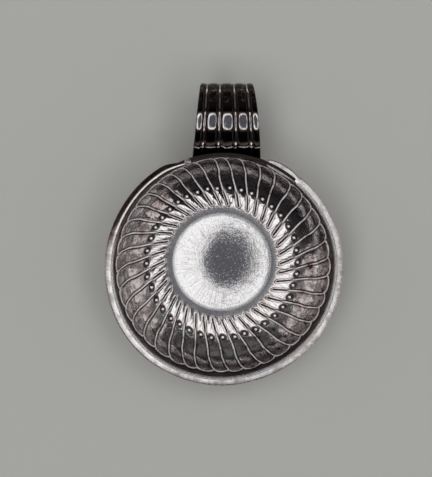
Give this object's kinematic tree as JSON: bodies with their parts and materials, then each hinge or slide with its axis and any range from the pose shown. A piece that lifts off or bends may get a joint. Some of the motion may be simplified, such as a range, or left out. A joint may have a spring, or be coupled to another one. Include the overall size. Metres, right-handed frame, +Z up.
{
  "type": "tastevin",
  "caption": "Shallow round silver tasting cup with swirling fluted walls, a ring of beads, a domed centre, an applied rim and a reeded strap loop for the finger.",
  "frame": {"origin": "on the surface it stands on, midway along X and Y over the rim and the handle's far end", "axes": "+Z up out of the bowl's mouth, +Y towards the handle, +X to the right when the handle points away"},
  "size_m": [0.08, 0.1024, 0.024],
  "materials": {
    "bowl_silver": "polished old silver with a satin centre and brown tarnish in the hollows",
    "rim_silver": "polished by wear along its crown",
    "strap_silver": "polished reeds with dark tarnish between them",
    "solder": "dull grey, darkened"
  },
  "bodies": {
    "root": {"bowl": "bowl_silver", "rim_wire": "rim_silver", "handle_strap": "strap_silver", "upper_solder": "solder", "lower_solder": "solder"}
  },
  "joints": []
}
